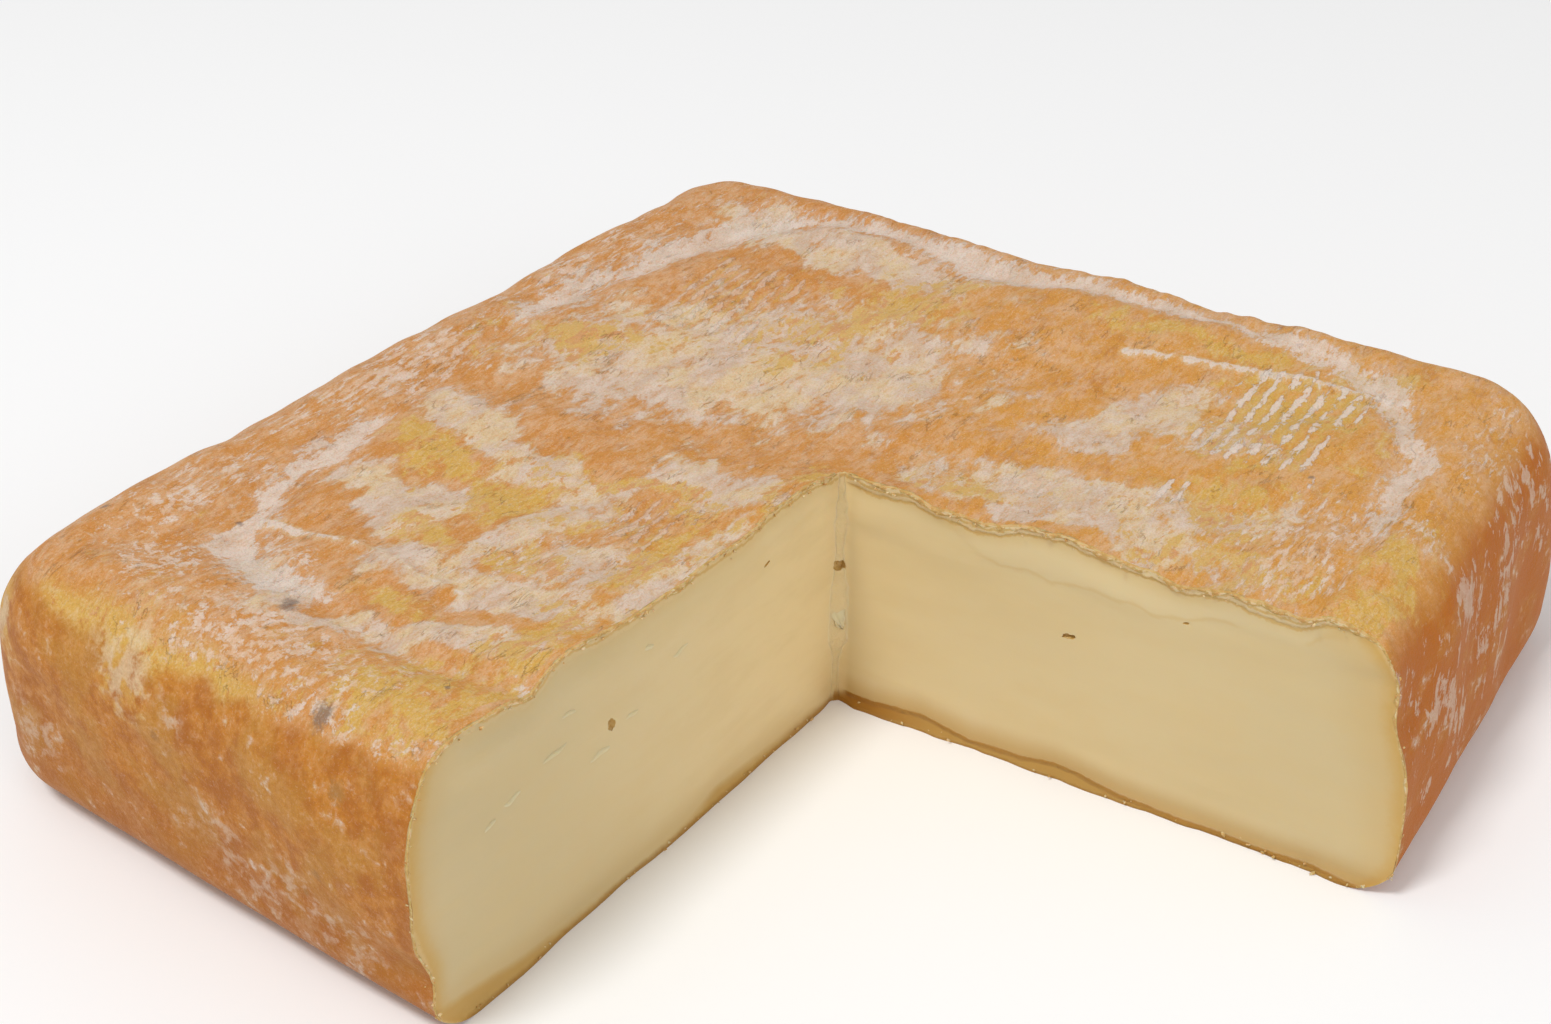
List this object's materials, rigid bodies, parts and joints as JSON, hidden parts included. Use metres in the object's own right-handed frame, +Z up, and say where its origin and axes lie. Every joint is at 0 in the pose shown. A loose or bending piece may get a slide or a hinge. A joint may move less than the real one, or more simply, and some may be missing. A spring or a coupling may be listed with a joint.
{
  "type": "taleggio cheese",
  "caption": "Square washed-rind soft cheese with one quarter cut out, its pale paste showing on two cut faces.",
  "frame": {"origin": "on the table under the middle of the cheese's box", "axes": "+Z up through the thickness, +X and +Y along the sides; the missing quarter is towards +X and -Y"},
  "size_m": [0.21, 0.2008, 0.0505],
  "materials": {
    "washed_rind": "dull orange washed rind with pale mould and mustard patches",
    "cheese_paste": "satin, slightly moist pale straw paste"
  },
  "bodies": {
    "root": {"cheese": "washed_rind"}
  },
  "joints": []
}
